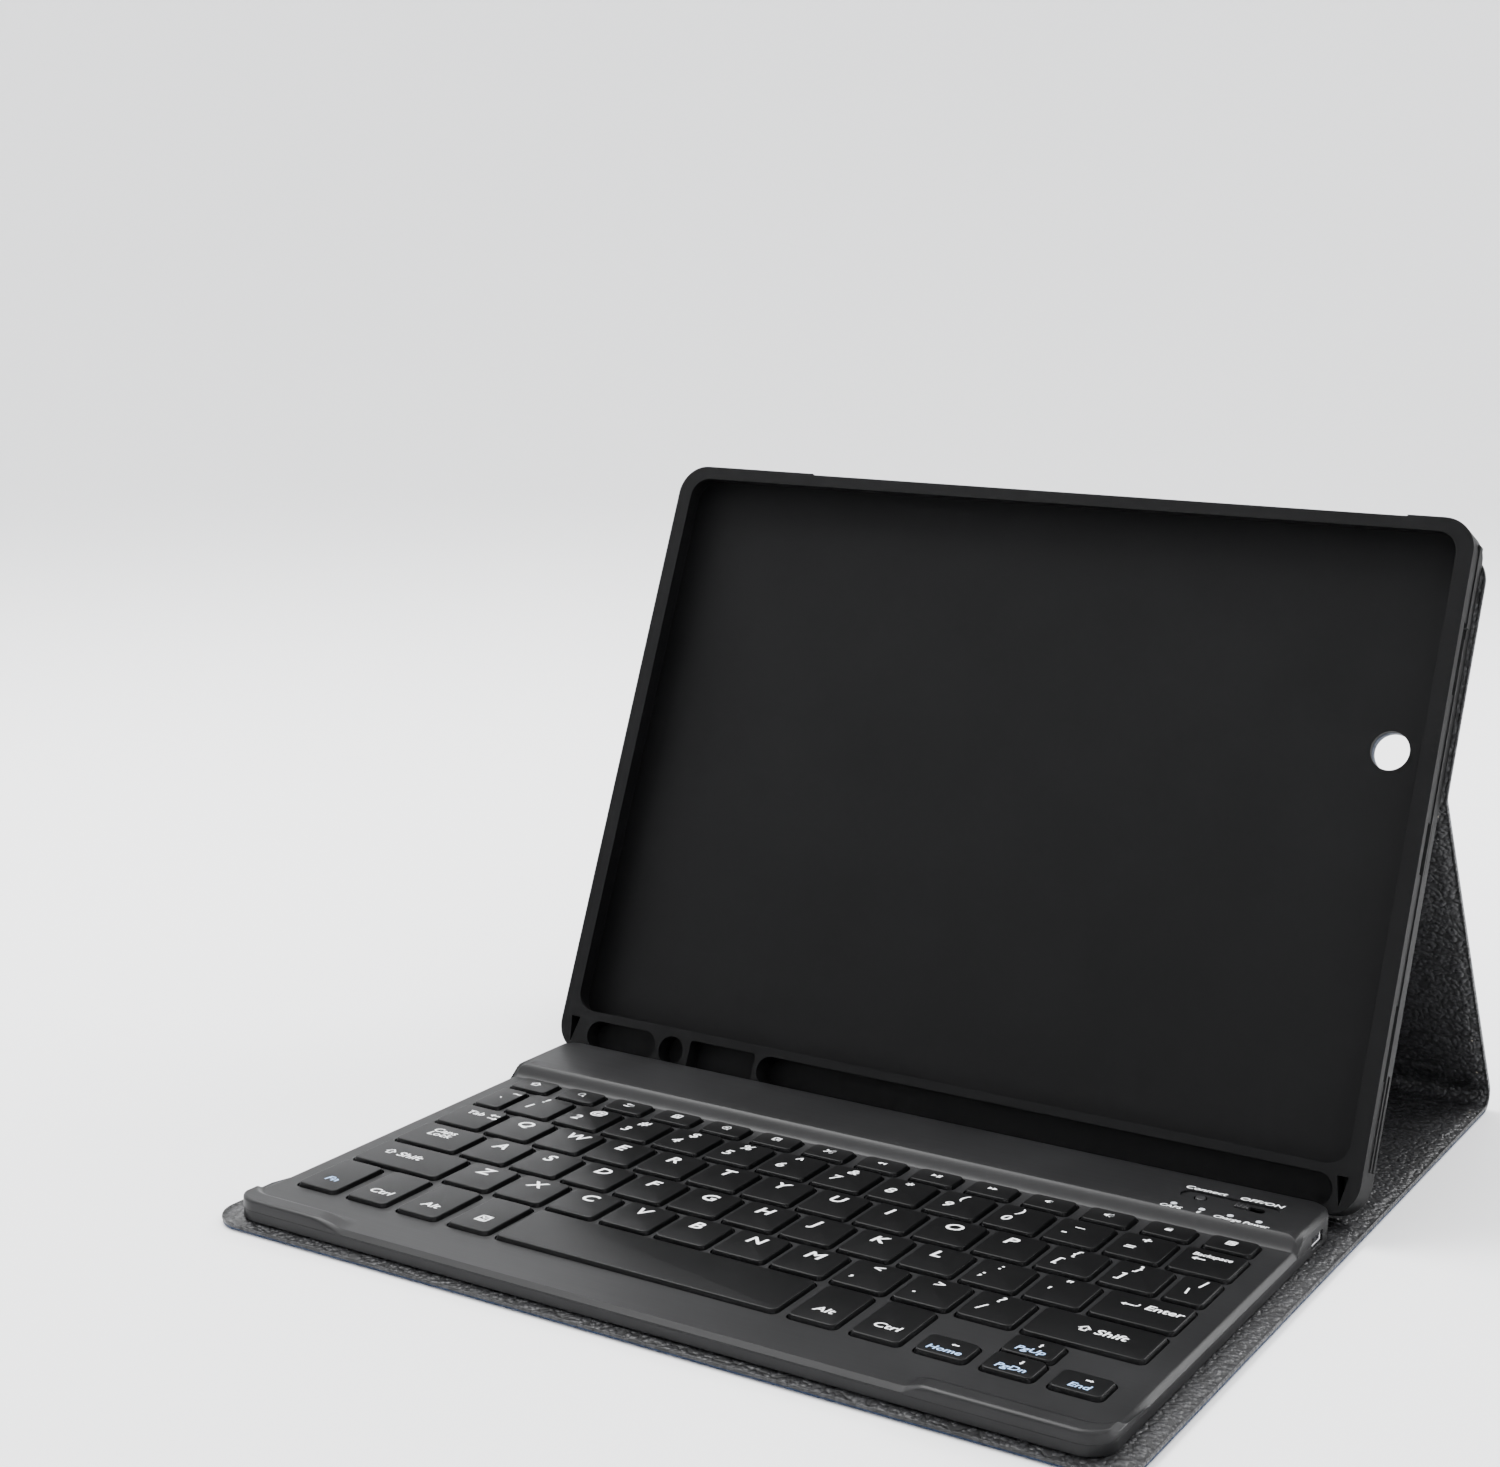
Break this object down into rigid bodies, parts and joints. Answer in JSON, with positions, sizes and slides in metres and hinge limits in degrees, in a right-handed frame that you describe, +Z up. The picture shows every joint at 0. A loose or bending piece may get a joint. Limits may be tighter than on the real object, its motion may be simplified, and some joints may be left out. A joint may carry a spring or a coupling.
{
  "type": "tablet keyboard case",
  "caption": "Folding case that stands a tablet up in a leaning tray over a lift-out keyboard, with a pen trough below the screen",
  "frame": {"origin": "middle of the case's width, on the table plane, near the middle of the flat cover's length", "axes": "+X to the user's right, +Y away from the user, +Z up"},
  "size_m": [0.258, 0.269, 0.1809],
  "materials": {
    "navy_leather": "pebbled, slightly satin",
    "dark_lining": "fine grained, matt",
    "board": "pressed board, hidden",
    "steel": "zinc plated",
    "tray_rubber": "soft matt moulding",
    "deck_plastic": "fine brushed texture",
    "shell_plastic": "fine spark texture",
    "key_plastic": "matt with printed legends",
    "control_plastic": "matt",
    "membrane_film": "printed film",
    "dome_rubber": "silicone",
    "cell_foil": "foil",
    "circuit": "lacquered board",
    "port_metal": "plated",
    "light_pipe": "clear moulded",
    "ring_leather": "embossed ring"
  },
  "bodies": {
    "cover_base": {"base_leather": "navy_leather", "base_lining": "dark_lining", "front_board": "board", "spine_board": "board", "flap_board_inner": "board", "flap_board_outer": "board", "cover_magnets": "steel"},
    "strut": {"strut_leather": "navy_leather", "strut_board": "board", "strut_lining": "dark_lining"},
    "tray": {"upper_leather": "navy_leather", "upper_board": "board", "upper_lining": "dark_lining", "tray_shell": "tray_rubber", "camera_ring": "ring_leather"},
    "keyboard": {"keyboard_bottom": "shell_plastic", "keyboard_frame": "deck_plastic", "rear_housing": "deck_plastic", "support_plate": "steel", "membrane": "membrane_film", "key_domes": "dome_rubber", "battery": "cell_foil", "circuit_board": "circuit", "charge_port": "port_metal", "indicator_lights": "light_pipe", "case_screws": "steel", "keyboard_magnets": "steel"},
    "pairing_button": {"pairing_button": "control_plastic"},
    "power_slider": {"power_slider": "control_plastic"},
    "keys_function_left": {"keys_function_left": "key_plastic"},
    "keys_function_right": {"keys_function_right": "key_plastic"},
    "keys_number_left": {"keys_number_left": "key_plastic"},
    "keys_number_right": {"keys_number_right": "key_plastic"},
    "key_backspace": {"key_backspace": "key_plastic"},
    "key_tab": {"key_tab": "key_plastic"},
    "keys_top_left": {"keys_top_left": "key_plastic"},
    "keys_top_right": {"keys_top_right": "key_plastic"},
    "keys_bracket": {"keys_bracket": "key_plastic"},
    "key_caps": {"key_caps": "key_plastic"},
    "keys_home_left": {"keys_home_left": "key_plastic"},
    "keys_home_right": {"keys_home_right": "key_plastic"},
    "key_enter": {"key_enter": "key_plastic"},
    "key_shift_left": {"key_shift_left": "key_plastic"},
    "keys_bottom_left": {"keys_bottom_left": "key_plastic"},
    "keys_bottom_right": {"keys_bottom_right": "key_plastic"},
    "key_shift_right": {"key_shift_right": "key_plastic"},
    "keys_modifier_left": {"keys_modifier_left": "key_plastic"},
    "key_space": {"key_space": "key_plastic"},
    "keys_modifier_right": {"keys_modifier_right": "key_plastic"},
    "key_arrow_left": {"key_arrow_left": "key_plastic"},
    "key_arrow_up": {"key_arrow_up": "key_plastic"},
    "key_arrow_down": {"key_arrow_down": "key_plastic"},
    "key_arrow_right": {"key_arrow_right": "key_plastic"}
  },
  "joints": [
    {"name": "strut_crease", "type": "hinge", "parent": "cover_base", "child": "strut", "pos_m": [0, 0.135, -0.0002], "axis": [1, 0, 0], "range_deg": [-123.36, 0]},
    {"name": "tray_crease", "type": "hinge", "parent": "strut", "child": "tray", "pos_m": [0, 0.06263, 0.10736], "axis": [1, 0, 0], "range_deg": [0, 55.38]},
    {"name": "keyboard_lift", "type": "slide", "parent": "cover_base", "child": "keyboard", "axis": [0, 0, 1], "range_m": [0, 0.03]},
    {"name": "pairing_press", "type": "slide", "parent": "keyboard", "child": "pairing_button", "axis": [0, 0, -1], "range_m": [0, 0.0005], "stiffness_N_per_m": 800, "springref_m": -0.0005},
    {"name": "power_slide", "type": "slide", "parent": "keyboard", "child": "power_slider", "axis": [1, 0, 0], "range_m": [0, 0.003]},
    {"name": "keys_function_left_press", "type": "slide", "parent": "keyboard", "child": "keys_function_left", "axis": [0, 0, -1], "range_m": [0, 0.0012], "stiffness_N_per_m": 300, "springref_m": -0.0005},
    {"name": "keys_function_right_press", "type": "slide", "parent": "keyboard", "child": "keys_function_right", "axis": [0, 0, -1], "range_m": [0, 0.0012], "stiffness_N_per_m": 300, "springref_m": -0.0005},
    {"name": "keys_number_left_press", "type": "slide", "parent": "keyboard", "child": "keys_number_left", "axis": [0, 0, -1], "range_m": [0, 0.0012], "stiffness_N_per_m": 300, "springref_m": -0.0005},
    {"name": "keys_number_right_press", "type": "slide", "parent": "keyboard", "child": "keys_number_right", "axis": [0, 0, -1], "range_m": [0, 0.0012], "stiffness_N_per_m": 300, "springref_m": -0.0005},
    {"name": "key_backspace_press", "type": "slide", "parent": "keyboard", "child": "key_backspace", "axis": [0, 0, -1], "range_m": [0, 0.0012], "stiffness_N_per_m": 300, "springref_m": -0.0005},
    {"name": "key_tab_press", "type": "slide", "parent": "keyboard", "child": "key_tab", "axis": [0, 0, -1], "range_m": [0, 0.0012], "stiffness_N_per_m": 300, "springref_m": -0.0005},
    {"name": "keys_top_left_press", "type": "slide", "parent": "keyboard", "child": "keys_top_left", "axis": [0, 0, -1], "range_m": [0, 0.0012], "stiffness_N_per_m": 300, "springref_m": -0.0005},
    {"name": "keys_top_right_press", "type": "slide", "parent": "keyboard", "child": "keys_top_right", "axis": [0, 0, -1], "range_m": [0, 0.0012], "stiffness_N_per_m": 300, "springref_m": -0.0005},
    {"name": "keys_bracket_press", "type": "slide", "parent": "keyboard", "child": "keys_bracket", "axis": [0, 0, -1], "range_m": [0, 0.0012], "stiffness_N_per_m": 300, "springref_m": -0.0005},
    {"name": "key_caps_press", "type": "slide", "parent": "keyboard", "child": "key_caps", "axis": [0, 0, -1], "range_m": [0, 0.0012], "stiffness_N_per_m": 300, "springref_m": -0.0005},
    {"name": "keys_home_left_press", "type": "slide", "parent": "keyboard", "child": "keys_home_left", "axis": [0, 0, -1], "range_m": [0, 0.0012], "stiffness_N_per_m": 300, "springref_m": -0.0005},
    {"name": "keys_home_right_press", "type": "slide", "parent": "keyboard", "child": "keys_home_right", "axis": [0, 0, -1], "range_m": [0, 0.0012], "stiffness_N_per_m": 300, "springref_m": -0.0005},
    {"name": "key_enter_press", "type": "slide", "parent": "keyboard", "child": "key_enter", "axis": [0, 0, -1], "range_m": [0, 0.0012], "stiffness_N_per_m": 300, "springref_m": -0.0005},
    {"name": "key_shift_left_press", "type": "slide", "parent": "keyboard", "child": "key_shift_left", "axis": [0, 0, -1], "range_m": [0, 0.0012], "stiffness_N_per_m": 300, "springref_m": -0.0005},
    {"name": "keys_bottom_left_press", "type": "slide", "parent": "keyboard", "child": "keys_bottom_left", "axis": [0, 0, -1], "range_m": [0, 0.0012], "stiffness_N_per_m": 300, "springref_m": -0.0005},
    {"name": "keys_bottom_right_press", "type": "slide", "parent": "keyboard", "child": "keys_bottom_right", "axis": [0, 0, -1], "range_m": [0, 0.0012], "stiffness_N_per_m": 300, "springref_m": -0.0005},
    {"name": "key_shift_right_press", "type": "slide", "parent": "keyboard", "child": "key_shift_right", "axis": [0, 0, -1], "range_m": [0, 0.0012], "stiffness_N_per_m": 300, "springref_m": -0.0005},
    {"name": "keys_modifier_left_press", "type": "slide", "parent": "keyboard", "child": "keys_modifier_left", "axis": [0, 0, -1], "range_m": [0, 0.0012], "stiffness_N_per_m": 300, "springref_m": -0.0005},
    {"name": "key_space_press", "type": "slide", "parent": "keyboard", "child": "key_space", "axis": [0, 0, -1], "range_m": [0, 0.0012], "stiffness_N_per_m": 300, "springref_m": -0.0005},
    {"name": "keys_modifier_right_press", "type": "slide", "parent": "keyboard", "child": "keys_modifier_right", "axis": [0, 0, -1], "range_m": [0, 0.0012], "stiffness_N_per_m": 300, "springref_m": -0.0005},
    {"name": "key_arrow_left_press", "type": "slide", "parent": "keyboard", "child": "key_arrow_left", "axis": [0, 0, -1], "range_m": [0, 0.0012], "stiffness_N_per_m": 300, "springref_m": -0.0005},
    {"name": "key_arrow_up_press", "type": "slide", "parent": "keyboard", "child": "key_arrow_up", "axis": [0, 0, -1], "range_m": [0, 0.0012], "stiffness_N_per_m": 300, "springref_m": -0.0005},
    {"name": "key_arrow_down_press", "type": "slide", "parent": "keyboard", "child": "key_arrow_down", "axis": [0, 0, -1], "range_m": [0, 0.0012], "stiffness_N_per_m": 300, "springref_m": -0.0005},
    {"name": "key_arrow_right_press", "type": "slide", "parent": "keyboard", "child": "key_arrow_right", "axis": [0, 0, -1], "range_m": [0, 0.0012], "stiffness_N_per_m": 300, "springref_m": -0.0005}
  ],
  "couplings": [
    {"joint": "tray_crease", "follows": "strut_crease", "ratio": -0.44876}
  ]
}
